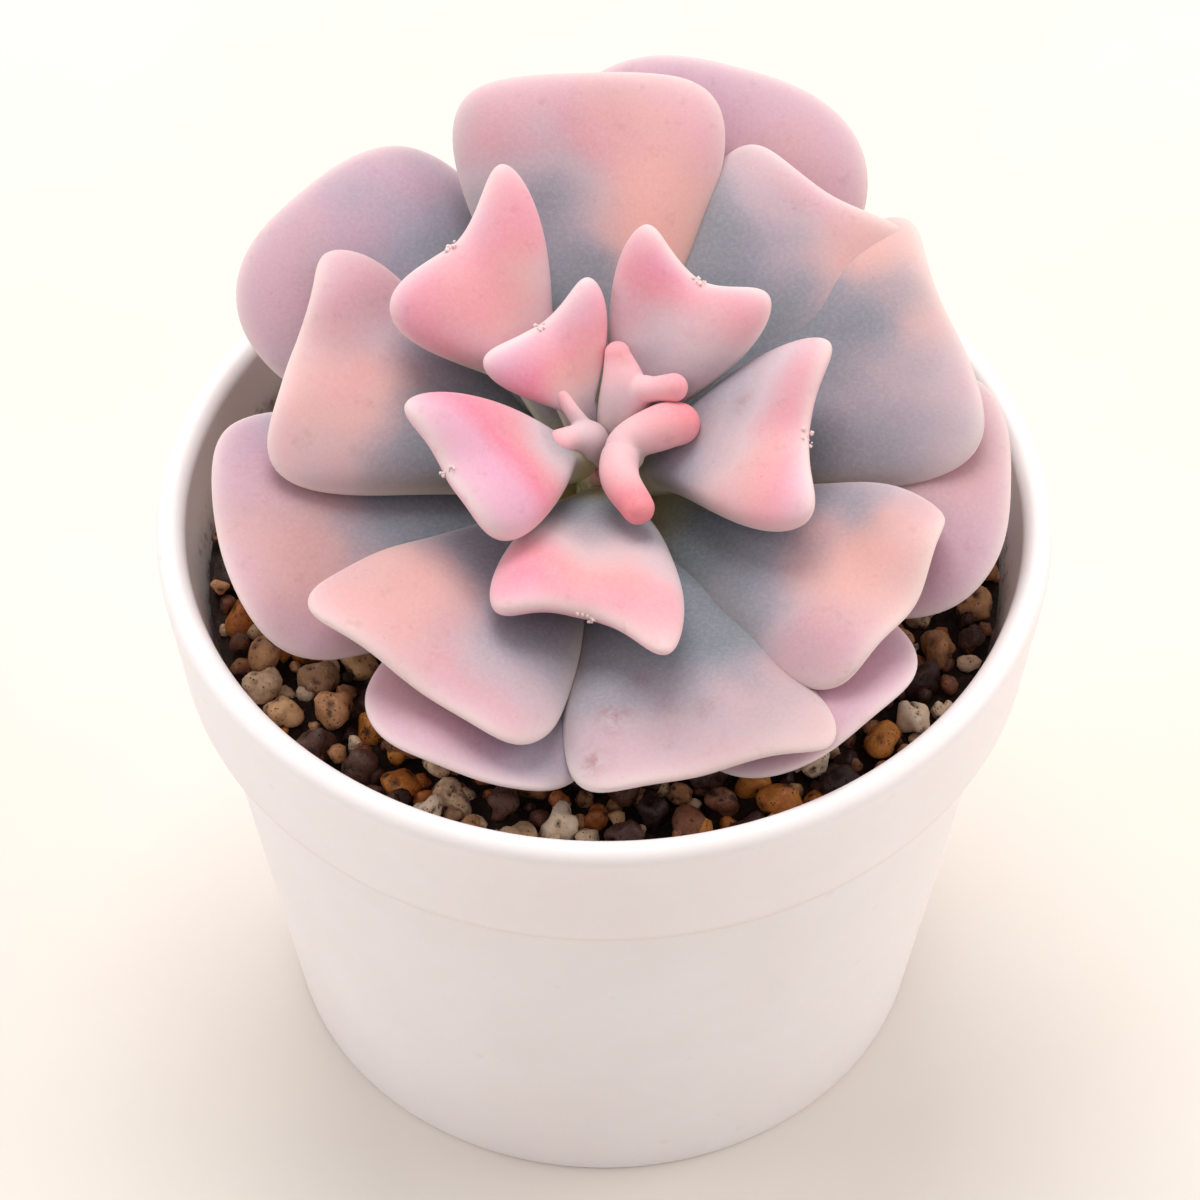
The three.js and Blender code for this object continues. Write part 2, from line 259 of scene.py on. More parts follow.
def potPlastic():
    fixed = {"IOR": 1.49, "Subsurface Weight": 0.25, "Subsurface Scale": 0.004,
             "Subsurface Radius": (1.0, 0.75, 0.6), "Coat Weight": 0.08, "Coat Roughness": 0.25}
    finish = Finish("potPlastic", fixed)
    cloud = finish.noise(24, 4, 0.6)
    grain = finish.noise(0.7, 3)
    specks = finish.cells(5.0).rise(0.16, 0.05) * finish.noise(6, 2).rise(0.5, 0.62)
    clean = cloud.colours((0.3, tone(potTones["low"])), (0.7, tone(potTones["high"])))
    stainEnd, stainFull = [potSize["rimTop"] - depth for depth in potMarks["stain"]]
    splashes = finish.height().rise(stainEnd, stainFull) * finish.noise(1.6, 5, 0.7).rise(0.5, 0.66)
    stain = splashes * finish.read("inside")
    # painted shade: a darker band round the collar's lower edge, where its overhang would shade the body
    # below
    heights = [potSize["collarBottom"] + height for height in potMarks["collarShade"]]
    collarShade = finish.height().rise(heights[0], heights[1]) * finish.height().rise(heights[3], heights[2])
    # small dark specks in the plastic, and the painted shade under the collar, in one tone
    marked = (specks * 0.14 + collarShade * 0.4).blend(clean, tone(potTones["collarShade"]))
    colour = (stain * 0.5).blend(marked, tone(potTones["stain"]))
    roughness = 0.34 + 0.1 * cloud + 0.05 * grain + 0.25 * stain
    normal = finish.relief(grain + 0.6 * finish.noise(3.5, 2), 0.05, 0.35)
    return finish.feed(colour=colour, roughness=roughness, normal=normal)


def makePot():
    p = potSize
    base, collar, rim = [p[part + "Radius"] - p[part + "Round"] for part in ("base", "collar", "rim")]
    profile = fillProfile(np.vstack([
        [[0, 0]],
        arc(base, p["baseRound"], p["baseRound"], -90, -6, 8),
        arc(p["neckRadius"] + p["seat"], p["collarBottom"] - p["seat"], p["seat"], 176, 92, 6),
        arc(collar, p["collarBottom"] + p["collarRound"], p["collarRound"], -86, -6, 8),
        arc(rim, p["rimTop"] - p["rimRound"], p["rimRound"], -6, 180, 18),
        [[innerRadius(p["floor"] + p["footFillet"]), p["floor"] + p["footFillet"]]],
        [[innerRadius(p["floor"]) - p["footFillet"], p["floor"]]],
        [[0, p["floor"]]],
    ]), p["spacing"])
    points, quads, caps = turned(profile, p["sides"])
    inside = np.hypot(points[:, 0], points[:, 1]) < innerRadius(points[:, 2]) + potMarks["into"]
    pot = addPiece("whitePot", points, Faces(quads, caps), potPlastic(), ["pot"], "pot", {"inside": inside})
    cutDrains(pot)


def cutDrains(pot):  # plain round holes through the floor
    d = drainSize
    angles = 2 * np.pi * (np.arange(d["count"]) + 0.5) / d["count"]
    rod = np.array([[0, d["below"]], [d["radius"], d["below"]], [d["radius"], d["above"]], [0, d["above"]]])
    points, quads, caps = turned(rod, d["sides"])
    places = d["ring"] * np.stack([np.cos(angles), np.sin(angles), 0 * angles], -1)
    allPoints = (points + places[:, None]).reshape(-1, 3)
    starts = np.arange(d["count"])[:, None, None] * len(points)
    faces = Faces((quads + starts).reshape(-1, 4), (caps + starts).reshape(-1, 3))
    cutter = addPiece("drainCutter", allPoints, faces, pot.data.materials[0])
    cut = pot.modifiers.new("drains", "BOOLEAN")
    cut.operation = "DIFFERENCE"
    cut.solver = "EXACT"
    cut.object = cutter
    dressed = bpy.data.meshes.new_from_object(pot.evaluated_get(bpy.context.evaluated_depsgraph_get()))
    pot.modifiers.clear()
    pot.data = dressed
    dressed.set_sharp_from_angle(angle=math.radians(40))
    bpy.data.objects.remove(cutter)


makePot()
print("pot made")


# Soil: a dark bed and loose granules of five kinds on it

# coarse and fine: height and length of the waves on the bed, lift: how far they raise it
soilSize = dict(
    bottom=3.3, foot=2, bedTop=58.0, clearance=0.3, sides=160, spacing=1.4, seed=21,
    coarse=(0.35, 4), fine=(0.2, 1.6), lift=0.3,
)
soilTones = ("160d09", "2c1c14", "57402f")
# hero: the large granules on top, fill: the small ones between them, level: how finely each is
# divided, closeness: share of their sizes that two keep apart, roll: how the layer rises and falls
granuleSize = dict(
    seed=5, seedStep=31, heroTries=5200, fillTries=4200, smallest=1.0, largest=2.3, fillSmallest=0.6,
    fillLargest=1.3, heroHeight=59.7, fillHeight=59.0, heroLevel=3, fillLevel=2, closeness=0.86,
    wallGap=0.25, roll=0.45, rollLength=9, jitter=0.5,
)
# facets: flat worn sides of each, crisp: how sharp they are, lumps and pits: how uneven it is
granuleKinds = dict(
    pumice=dict(share=0.27, facets=9, crisp=7, lumps=0.12, pits=14, pitDepth=0.24, pitWidth=0.02),
    tanStone=dict(share=0.2, facets=8, crisp=9, lumps=0.11, pits=9, pitDepth=0.2, pitWidth=0.03),
    clay=dict(share=0.17, facets=7, crisp=14, lumps=0.09, pits=5, pitDepth=0.12, pitWidth=0.05),
    lava=dict(share=0.18, facets=7, crisp=16, lumps=0.13, pits=9, pitDepth=0.22, pitWidth=0.03),
    brownStone=dict(share=0.18, facets=8, crisp=9, lumps=0.1, pits=6, pitDepth=0.14, pitWidth=0.04),
)
granuleForm = dict(
    facetReach=(0.68, 0.98), lumpWaves=9, lumpTurns=(2.5, 6), lumpSpread=2.1, pitSpread=(0.4, 1.6),
    width=(0.78, 1), height=(0.68, 0.9),
)
granuleGloss = dict(pumice=0.75, tanStone=0.55, clay=0.36, lava=0.38, brownStone=0.44)
granuleTones = dict(  # dark, middle and light, and the painted shade in its pits and pores
    pumice=("ad8767", "e3c7a6", "faead4", "5a3c2a"),
    tanStone=("8a5c3d", "bf8b60", "e0b587", "412618"),
    clay=("7e431b", "b86c2b", "e69d48", "35190a"),
    lava=("2c1814", "462b24", "6b483d", "100705"),
    brownStone=("54301f", "7f4e37", "a66f50", "24120c"),
)


def soilDust():
    finish = Finish("soilDust", {})
    lump = finish.noise(1.1, 6, 0.65)
    dark, middle, light = [tone(code) for code in soilTones]
    colour = lump.colours((0.3, dark), (0.55, middle), (0.75, light))
    normal = finish.relief(lump, 0.5, 0.8)
    return finish.feed(colour=colour, roughness=0.85 + 0.1 * lump, normal=normal)


def granuleFinish(kind):
    low, middle, high, pitShade = [tone(code) for code in granuleTones[kind]]
    finish = Finish(kind + "Finish", {"IOR": 1.5})
    tint = finish.read("tint")
    hollow = finish.read("hollow")
    patches = finish.noise(0.8, 4, 0.6)
    pores = finish.cells(0.42).rise(0.32, 0.12) * finish.noise(1.2, 2).rise(0.42, 0.58)
    spread = patches * 0.75 + tint * 0.55 - 0.2
    base = spread.colours((0.2, low), (0.5, middle), (0.85, high))
    # painted shade: the dents and the pores, which are only bumps, are darkened towards the last tone
    colour = (hollow + pores * 0.75).rise(0.1, 0.95).blend(base, pitShade)
    fine = finish.noise(0.22, 3)
    roughness = granuleGloss[kind] + 0.35 * fine - 0.3 * finish.noise(0.5, 2).rise(0.55, 0.7)
    normal = finish.relief(patches + 0.4 * fine - pores, 0.22, 0.7)
    return finish.feed(colour=colour, roughness=roughness, normal=normal)


# The top is uneven by waves, the sides are plain
def makeBed():
    s = soilSize
    side = s["bottom"] + s["foot"]
    profile = fillProfile(np.array([
        [0, s["bottom"]],
        [innerRadius(s["bottom"]) - s["foot"], s["bottom"]],
        [innerRadius(side) - s["clearance"], side],
        [innerRadius(s["bedTop"]) - s["clearance"], s["bedTop"]],
        [0, s["bedTop"]],
    ]), s["spacing"])
    points, quads, caps = turned(profile, s["sides"])
    top = smoothRise(points[:, 2], s["bedTop"] - 1, s["bedTop"])
    (rise, length), (grit, gritLength) = s["coarse"], s["fine"]
    lumps = rise * waves(points, length, s["seed"]) + grit * waves(points, gritLength, s["seed"] + 1)
    points[:, 2] += top * (lumps + s["lift"])
    addPiece("soilBed", points, Faces(quads, caps), soilDust(), ["soil"], "soil")


# Places for granules: random darts in a disc, each kept if it clears those before it
def scatter(rng, tries, smallest, largest, closeness):
    sizes = np.sort(rng.uniform(smallest, largest, tries))[::-1]
    reach = innerRadius(granuleSize["heroHeight"]) - granuleSize["wallGap"]
    distances = (reach - sizes) * np.sqrt(rng.uniform(0, 1, tries))
    angles = rng.uniform(0, 2 * np.pi, tries)
    spots = np.stack([distances * np.cos(angles), distances * np.sin(angles)], -1)
    kept = []
    for i in range(tries):
        gaps = np.linalg.norm(spots[kept] - spots[i], axis=1)
        if np.all(gaps > closeness * (sizes[kept] + sizes[i])):
            kept.append(i)
    return spots[kept], sizes[kept]


def unit(vectors):
    return vectors / np.linalg.norm(vectors, axis=-1, keepdims=True)


def ballMesh(level):  # corners and faces of a ball made of triangles
    build = bmesh.new()
    bmesh.ops.create_icosphere(build, subdivisions=level, radius=1)
    corners = np.array([corner.co for corner in build.verts])
    faces = np.array([[corner.index for corner in face.verts] for face in build.faces])
    build.free()
    return unit(corners), faces


# Granules: each direction's reach is a soft least of a ball and some random planes, which gives
# worn facets, then waves make it lumpy and narrow dents make its pits
def granuleMesh(kind, spots, sizes, heights, level, seed):
    k, f = granuleKinds[kind], granuleForm
    rng = np.random.default_rng(seed)
    ways, faces = ballMesh(level)
    count = len(sizes)
    normals = unit(rng.normal(size=(count, k["facets"], 3)))
    offsets = rng.uniform(*f["facetReach"], (count, k["facets"], 1))
    planes = offsets / np.maximum(normals @ ways.T, 0.1)
    reach = (1 + (planes ** -k["crisp"]).sum(1)) ** (-1 / k["crisp"])
    number = f["lumpWaves"]
    turns = unit(rng.normal(size=(count, number, 3))) * rng.uniform(*f["lumpTurns"], (count, number, 1))
    shifts = rng.uniform(0, 2 * np.pi, (count, number, 1))
    reach *= 1 + k["lumps"] * np.sin(turns @ ways.T + shifts).sum(1) / f["lumpSpread"]
    pits = unit(rng.normal(size=(count, k["pits"], 3)))
    widths = k["pitWidth"] * rng.uniform(*f["pitSpread"], (count, k["pits"], 1))
    hollow = np.exp((pits @ ways.T - 1) / widths).max(1)
    reach *= 1 - k["pitDepth"] * hollow
    frames, _ = np.linalg.qr(rng.normal(size=(count, 3, 3)))
    frames *= np.linalg.det(frames)[:, None, None]
    width, height = rng.uniform(*f["width"], count), rng.uniform(*f["height"], count)
    stretch = np.stack([np.ones(count), width, height], -1)
    shapes = (ways[None] * reach[:, :, None]) @ (stretch[:, :, None] * frames)
    centres = np.column_stack([spots, heights])
    points = (centres[:, None] + shapes * sizes[:, None, None]).reshape(-1, 3)
    allFaces = (faces + np.arange(count)[:, None, None] * len(ways)).reshape(-1, 3)
    tint = np.repeat(rng.uniform(0, 1, count), len(ways))
    return points, allFaces, {"tint": tint, "hollow": hollow}


def makeGranules():
    g = granuleSize
    rng = np.random.default_rng(g["seed"])
    top = scatter(rng, g["heroTries"], g["smallest"], g["largest"], g["closeness"])
    low = scatter(rng, g["fillTries"], g["fillSmallest"], g["fillLargest"], g["closeness"])
    shares = np.cumsum([kind["share"] for kind in granuleKinds.values()])
    finishes = {kind: granuleFinish(kind) for kind in granuleKinds}
    layers = (("Top", top, g["heroHeight"], g["heroLevel"]), ("Low", low, g["fillHeight"], g["fillLevel"]))
    for layer, (spots, sizes), height, level in layers:
        rolling = g["roll"] * waves(spots, g["rollLength"], g["seed"] + level)
        heights = height + rolling + rng.uniform(-g["jitter"], g["jitter"], len(sizes))
        drawn = np.minimum(shares.searchsorted(rng.uniform(0, shares[-1], len(sizes))), len(shares) - 1)
        for order, kind in enumerate(granuleKinds):
            mine = drawn == order
            seed = g["seedStep"] * level + order
            points, faces, marks = granuleMesh(kind, spots[mine], sizes[mine], heights[mine], level, seed)
            addPiece(kind + layer, points, faces, finishes[kind], ["soil"], "soil", marks)
        print(layer, "granules:", len(sizes))


makeBed()
makeGranules()
print("soil made")


# Rosette: it stands a little behind the middle of the pot and leans to the front

rosette = dict(foot=61, back=3, lean=14)


def leanOut(points):  # turns points round X by the lean and lifts them to the rosette's foot
    lean = math.radians(rosette["lean"])
    x, y, z = np.moveaxis(points, -1, 0)
    leaned = [x, y * math.cos(lean) - z * math.sin(lean) + rosette["back"],
              y * math.sin(lean) + z * math.cos(lean) + rosette["foot"]]
    return np.stack(leaned, -1)


# Stem with three tiny leaf buds at its tip

stemSize = dict(
    profile=((0, -5.5), (4.0, -5.5), (3.9, 3), (3.2, 7), (2.3, 10), (1.5, 12.6), (0, 14)),
    sides=48, spacing=0.5, ringPitch=3.1, ringDepth=0.03, unevenness=0.02, seed=3,
)
budSize = dict(count=3, radius=0.95, stretch=(1, 0.85, 1.6), tilt=24, place=(0.75, 0, 13.6), firstTurn=20)
stemTones = dict(dark="6f6a48", light="a6a072", tip="e79aa4")
tipHeights = (10.5, 14)  # between which the bark turns pink


def stemFinish():
    finish = Finish("stemSkin", {"Subsurface Weight": 0.3, "Subsurface Scale": 0.0015,
                                 "Subsurface Radius": (1.0, 0.5, 0.35)})
    speck = finish.noise(0.8, 5, 0.6)
    bark = speck.colours((0.35, tone(stemTones["dark"])), (0.65, tone(stemTones["light"])))
    colour = finish.read("tip").blend(bark, tone(stemTones["tip"]))
    return finish.feed(colour=colour, roughness=0.6 + 0.2 * speck, normal=finish.relief(speck, 0.12, 0.6))


# The stem's profile turned round, ringed by a sine along its height, and egg-shaped buds that are
# tilted out and spread evenly round its tip
def makeStem():
    s, b = stemSize, budSize
    points, quads, caps = turned(fillProfile(np.array(s["profile"]), s["spacing"]), s["sides"])
    rings = s["ringDepth"] * np.sin(points[:, 2:] * s["ringPitch"])
    points[:, :2] *= 1 + rings + s["unevenness"] * waves(points, 3, s["seed"])[:, None]
    ball, triangles = ballMesh(3)
    tilt = math.radians(b["tilt"])
    lean = np.array([[math.cos(tilt), 0, -math.sin(tilt)], [0, 1, 0], [math.sin(tilt), 0, math.cos(tilt)]])
    bud = (ball * b["radius"] * b["stretch"]) @ lean + b["place"]
    parts, groups, base = [points], [quads, caps], len(points)
    for i in range(b["count"]):
        turn = math.radians(b["firstTurn"] + 360 * i / b["count"])
        spin = [[math.cos(turn), math.sin(turn), 0], [-math.sin(turn), math.cos(turn), 0], [0, 0, 1]]
        parts.append(bud @ np.array(spin))
        groups.append(triangles + base)
        base += len(bud)
    allPoints = np.vstack(parts)
    tip = smoothRise(allPoints[:, 2], *tipHeights)
    addPiece("stemSkin", leanOut(allPoints), Faces(*groups), stemFinish(), ["stem"], "stem", {"tip": tip})


makeStem()
print("stem made")


# Leaves

# start: root's distance from the axis, neck: root width over full width, stalk: share of the
# length that stays as narrow, flare: how late it widens, square: how square the outline is, arch
# and curl: bend across and along in degrees, blunt: how steeply the faces meet at the rim, nose:
# how far the middle of the tip stands out, swell: extra thickness at the front corners, wave and
# dish: unevenness, and depth of the hollow between the corners, in mm
tiers = dict(
    outer=dict(start=2.6, neck=0.34, stalk=0, flare=1.4, square=3.2, arch=12, curl=10, thick=5.0,
               blunt=4, nose=0.02, swell=0, wave=0.3, dish=0.5),
    middle=dict(start=2.2, neck=0.22, stalk=0, flare=1.7, square=6, arch=14, curl=8, thick=5.8,
                blunt=4.5, nose=0.04, swell=0.1, wave=0.35, dish=1.1),
    inner=dict(start=1.4, neck=0.2, stalk=0.22, flare=1.3, square=3.6, arch=18, curl=4, thick=6.0,
               blunt=5, nose=0, swell=0.4, wave=0.2, dish=1.4),
)
# turn: azimuth, lift: slope above the rosette's plane, root: height on the stem, left and right:
# how far each front corner runs on, grey: share of the length that stays grey, lean: how much
# further the pink comes down on the left side, peach and side: how warm it is, and where across
# the warm patch sits. A leaf can have its own stalk, flare and nose.
leafRows = dict(
    inner=[
        dict(turn=121.5, lift=48, root=11.5, length=15.2, width=16.8, left=0.16, right=0.44,
             stalk=0.45, flare=1.2, grey=0.5, lean=0.25, peach=0.5, side=-0.2),
        dict(turn=57.5, lift=42, root=10.5, length=21, width=18.8, left=0.36, right=0.33,
             stalk=0.25, flare=1.2, grey=0.68, lean=-0.1, peach=0.15, side=-0.6),
        dict(turn=-5, lift=36, root=10, length=22.2, width=24, left=0.34, right=0.26,
             stalk=0.25, flare=1.3, grey=0.66, lean=-0.3, peach=0.4, side=-0.5),
        dict(turn=-155.5, lift=36, root=14.4, length=18.2, width=19, left=0, right=0.34,
             stalk=0.25, flare=0.9, grey=0.42, lean=0.2, peach=0.1, side=0.2),
        dict(turn=127.8, lift=31, root=9.5, length=26.8, width=22.5, left=0.05, right=0.42,
             stalk=0.42, flare=1.2, grey=0.58, lean=0.2, peach=0.4, side=-0.1),
        dict(turn=-95, lift=32, root=9.5, length=22, width=20.8, left=0.76, right=0.28,
             stalk=0.05, flare=1, grey=0.64, lean=-0.2, peach=0.35, side=0.2),
    ],
    middle=[
        dict(turn=92.7, lift=17, root=7, length=39.4, width=29.6, left=0.03, right=0.02,
             nose=0.05, flare=1.9, grey=0.62, lean=-0.5, peach=0.85, side=-0.6),
        dict(turn=52, lift=15, root=6.5, length=35.5, width=24.6, left=0.06, right=0.1,
             nose=0.02, grey=0.84, lean=-0.25, peach=0.7, side=-0.8),
        dict(turn=161, lift=17, root=7, length=31, width=28, left=0, right=0.13,
             flare=2, grey=0.74, lean=-0.1, peach=0.6, side=0.3),
        dict(turn=-32, lift=19, root=6.5, length=32.6, width=26, left=0, right=0.05,
             nose=0.08, grey=0.78, lean=0, peach=0.8, side=0.2),
        dict(turn=-125, lift=20, root=7, length=31.8, width=29.4, left=0.08, right=0.05,
             grey=0.72, lean=-0.3, peach=0.7, side=-0.5),
        dict(turn=22, lift=16, root=6, length=35.5, width=30.5, left=0.12, right=0,
             grey=0.88, lean=0, peach=0.9, side=0.5),
        dict(turn=-74, lift=17, root=6, length=35.6, width=27.4, left=0.15, right=0.06,
             grey=0.82, lean=0, peach=0.3, side=0.7),
    ],
    outer=[
        dict(turn=135.5, lift=12, root=3.5, length=41.6, width=33, left=0, right=0,
             grey=0.7, lean=0.4, peach=0.2, side=0.6),
        dict(turn=73, lift=12, root=3, length=45.5, width=37, left=0, right=0,
             grey=0.5, lean=0, peach=0.5, side=-0.6),
        dict(turn=-168.5, lift=13, root=3, length=37.2, width=32, left=0, right=0,
             grey=0.68, lean=0.2, peach=0.7, side=0.3),
        dict(turn=-3, lift=12, root=3, length=38.5, width=31, left=0, right=0,
             grey=0.7, lean=-0.4, peach=0.5, side=0.2),
        dict(turn=-52, lift=16, root=2.8, length=38.5, width=27, left=0, right=0,
             grey=0.58, lean=0, peach=0.2, side=0),
        dict(turn=-113, lift=17, root=3, length=37.5, width=26, left=0, right=0,
             grey=0.7, lean=-0.4, peach=0.3, side=-0.5),
    ],
)
leafGrid = 56  # squares across a leaf and along it
# horn: how sharply the front corners run on, dishWidth: as a share of half the width, then waves'
# length in mm and number, and how thick a leaf is at its ends, as a share
leafForm = dict(horn=1.7, dishWidth=0.4, waveLength=15, waveSeed=200, waveCount=6, ends=0.72)
# Colours along a leaf, by how far the place lies past the end of its grey part
leafTones = dict(
    outer=dict(
        root="958a55", peach="d9a39b", rim="e6cdd8",
        steps=((-0.5, "6c7a86"), (-0.22, "7b8492"), (0, "9a94a6"), (0.22, "b894a9"), (0.4, "c59ab0")),
    ),
    middle=dict(
        root="a89a58", peach="e2a89e", rim="ead6da",
        steps=((-0.5, "69757f"), (-0.24, "7b818d"), (-0.06, "9892a0"), (0.08, "b9a2ad"), (0.22, "cb93a1"),
               (0.42, "d293a8")),
    ),
    inner=dict(
        root="ada05a", peach="eeb9ae", rim="f3dbe3",
        steps=((-0.45, "7a848d"), (-0.16, "9c98a4"), (0.02, "ceb6bf"), (0.2, "e0909f"), (0.32, "e4809c"),
               (0.5, "dfa0bd")),
    ),
    heart=dict(
        root="c3b08f", peach="f4bdb2", rim="f8ced6",
        steps=((-0.4, "c4b2ae"), (-0.1, "e3c3cb"), (0.14, "f0bccb"), (0.32, "f1a0b0"), (0.5, "ee8593")),
    ),
)
toneSpan = (-0.6, 0.8)  # of the places past the grey part that a colour ramp covers
# Marks on the skin; two are painted light: a thin near-white highlight along the rim, and an olive glow at
# the margins near the base
markTones = dict(
    cool="7a8489", glow="b8a76c", edge="fbeee6", bloom="e4e0e8", blemish="96605a", scrap="f1dcd8",
)


def leafSkin(tier):
    tones = leafTones[tier]
    mark = {name: tone(code) for name, code in markTones.items()}
    fixed = {"IOR": 1.4, "Subsurface Weight": 0.18, "Subsurface Scale": 0.0015,
             "Subsurface Radius": (1.0, 0.55, 0.5), "Sheen Weight": 0.1, "Sheen Roughness": 0.5}
    skin = Finish(tier + "Skin", fixed)
    along, across, rim = skin.read("along"), skin.read("across"), skin.read("rim")
    clouds = skin.noise(9, 1, 0.4)
    mottle = skin.noise(1.5, 6, 0.7)
    sides = across.size()
    reach = along - skin.read("grey") + across * skin.read("lean") * 0.35
    reach = reach + 0.45 * (clouds - 0.5) + 0.07 * (mottle - 0.5) + 0.06 * sides * sides
    low, high = toneSpan
    stops = [((place - low) / (high - low), tone(code)) for place, code in tones["steps"]]
    ramp = ((reach - low) * (1 / (high - low))).colours(*stops)
    aside = (across - skin.read("side")).size() + 0.5 * (skin.noise(8, 2) - 0.5)
    warmth = (1 - aside.rise(0.15, 0.85)) * reach.rise(-0.14, 0.12) * (1 - 0.7 * reach.rise(0.22, 0.5))
    warmed = (warmth * skin.read("peach")).blend(ramp, tone(tones["peach"]))
    cool = skin.noise(17, 2).rise(0.45, 0.7) * (1 - reach.rise(-0.3, 0.1)) * 0.5
    cooled = cool.blend(warmed, mark["cool"])
    # paler margins: partly the leaves' own colour, partly a painted highlight where the round rim turns to
    # the light
    paleAndLitRim = (rim ** 7) * along.rise(0.25, 0.6) * 0.4
    sided = paleAndLitRim.blend(cooled, tone(tones["rim"]))
    rooted = ((1 - along.rise(0.06, 0.36)) * 0.9).blend(sided, tone(tones["root"]))
    # painted light: an olive glow along the margins near the base, as of light shining through them
    glowing = (rim ** 9 * along.rise(0.8, 0.45) * 0.5).blend(rooted, mark["glow"])
    # painted highlight: a thin near-white line along the very rim
    edged = (rim ** 40 * along.rise(0.1, 0.4) * 0.5).blend(glowing, mark["edge"])
    bloom = skin.noise(0.4, 4, 0.75).rise(0.35, 0.75) * 0.13
    powdered = bloom.blend(edged, mark["bloom"])
    dusky = skin.noise(2.2, 4, 0.7).rise(0.55, 0.75) * reach.rise(-0.1, 0.15) * 0.16
    freckle = skin.cells(1.3).rise(0.16, 0.06) * skin.noise(7, 2).rise(0.56, 0.7) * 0.2
    marks = dusky + freckle + skin.read("scar") * mottle.rise(0.4, 0.6) * 0.6
    marked = marks.blend(powdered, mark["blemish"])
    colour = (skin.read("scrap") * 0.7).blend(marked, mark["scrap"])
    height = mottle * 0.5 + skin.noise(0.3, 3) * 0.25
    roughness = 0.55 + 0.16 * mottle
    return skin.feed(colour=colour, roughness=roughness, normal=skin.relief(height, 0.16, 0.45))


# From shares of a leaf's outline to a place in the part. It fans out from its neck, its front
# corners are drawn on, and it is bent over a cylinder across its width and along its length. Then
# it is turned onto the stem. The offset is measured from the middle of its thickness.
def placeLeaf(leaf, tier, across, along, offset):
    f = leafForm
    halfWidth = leaf["width"] / 2
    archRadius = halfWidth / math.radians(tier["arch"])
    curlRadius = leaf["length"] / math.radians(tier["curl"])
    stalk, flare = leaf.get("stalk", tier["stalk"]), leaf.get("flare", tier["flare"])
    past = np.clip((along - stalk) / (1 - stalk), 0, 1)
    fan = tier["neck"] + (1 - tier["neck"]) * np.sin(past * np.pi / 2) ** flare
    y = across * halfWidth * fan
    leftHorn = leaf["left"] * np.clip(across, 0, 1) ** f["horn"]
    rightHorn = leaf["right"] * np.clip(-across, 0, 1) ** f["horn"]
    front = leftHorn + rightHorn + leaf.get("nose", tier["nose"]) * (1 - across * across)
    x = along * leaf["length"] * (1 + front * along * along)
    seed = int(leaf["turn"]) + f["waveSeed"]
    z = offset + tier["wave"] * along * waves(np.stack([x, y], -1), f["waveLength"], seed, f["waveCount"])
    z = z - tier["dish"] * along ** 3 * np.exp(-(across / f["dishWidth"]) ** 2)
    arched = (archRadius + z) * np.cos(y / archRadius) - archRadius
    bent = (curlRadius - arched) * np.sin(x / curlRadius)
    up = curlRadius - (curlRadius - arched) * np.cos(x / curlRadius)
    y = (archRadius + z) * np.sin(y / archRadius)
    lift, turn = math.radians(leaf["lift"]), math.radians(leaf["turn"])
    out = tier["start"] + bent * math.cos(lift) - up * math.sin(lift)
    height = leaf["root"] + bent * math.sin(lift) + up * math.cos(lift)
    spun = [out * math.cos(turn) - y * math.sin(turn), out * math.sin(turn) + y * math.cos(turn), height]
    return leanOut(np.stack(spun, -1))


# A disc pressed towards a square, with two faces that meet round its rim. The points crowd
# towards the rim, so that the edge is round.
def leafSurface(leaf, tier):
    n = leafGrid
    share = np.linspace(-1, 1, n + 1)
    a, b = np.meshgrid(share, share, indexing="ij")
    p = a * np.sqrt(1 - b * b / 2)
    q = b * np.sqrt(1 - a * a / 2)
    flat = np.minimum(np.hypot(p, q), 1)
    rim = np.sin(flat * np.pi / 2)
    crowd = rim / np.maximum(flat, 1e-6)
    angle = np.arctan2(q, p)
    corner = np.abs(np.cos(angle)) ** tier["square"] + np.abs(np.sin(angle)) ** tier["square"]
    press = crowd * (1 + (corner ** (-1 / tier["square"]) - 1) * rim ** 2)
    across, along = p * press, (q * press + 1) / 2
    ends = leafForm["ends"]
    plump = np.sqrt(np.maximum(1 - rim ** tier["blunt"], 0)) * (ends + (1 - ends) * np.sin(np.pi * along))
    plump = plump * (1 + tier["swell"] * (across * along) ** 2)
    upper = placeLeaf(leaf, tier, across, along, tier["thick"] / 2 * plump)
    lower = placeLeaf(leaf, tier, across, along, -tier["thick"] / 2 * plump)
    count = (n + 1) ** 2
    inside = np.zeros((n + 1, n + 1), bool)
    inside[1:-1, 1:-1] = True
    inside = inside.ravel()
    under = np.arange(count)
    under[inside] = count + np.arange(inside.sum())
    points = np.vstack([upper.reshape(-1, 3), lower.reshape(-1, 3)[inside]])
    i, j = np.meshgrid(np.arange(n), np.arange(n), indexing="ij")
    first = (i * (n + 1) + j).ravel()
    quads = np.stack([first, first + n + 1, first + n + 2, first + 1], -1)
    faces = np.vstack([quads, under[quads][:, ::-1]])
    marks = {name: np.append(values.ravel(), values.ravel()[inside])
             for name, values in (("along", along), ("across", across), ("rim", rim))}
    return points, faces, marks


# Dry scraps of skin at the notch of an inner leaf: small lumpy balls set along its edge
scraps = dict(count=9, spread=0.05, depth=0.9, smallest=0.08, largest=0.22, lumps=0.4, level=2, seed=70)


def scrapSurface(leaf, tier, number):
    s = scraps
    rng = np.random.default_rng(s["seed"] + number)
    ball, faces = ballMesh(s["level"])
    across = rng.normal(0, s["spread"], s["count"])
    depths = rng.uniform(-s["depth"], s["depth"], s["count"])
    centres = placeLeaf(leaf, tier, across, np.ones(s["count"]), depths)
    sizes = rng.uniform(s["smallest"], s["largest"], (s["count"], 1, 1))
    lumpy = ball * sizes * rng.uniform(1 - s["lumps"], 1 + s["lumps"], (s["count"], len(ball), 1))
    points = (centres[:, None] + lumpy).reshape(-1, 3)
    return points, (faces + np.arange(s["count"])[:, None, None] * len(ball)).reshape(-1, 3)


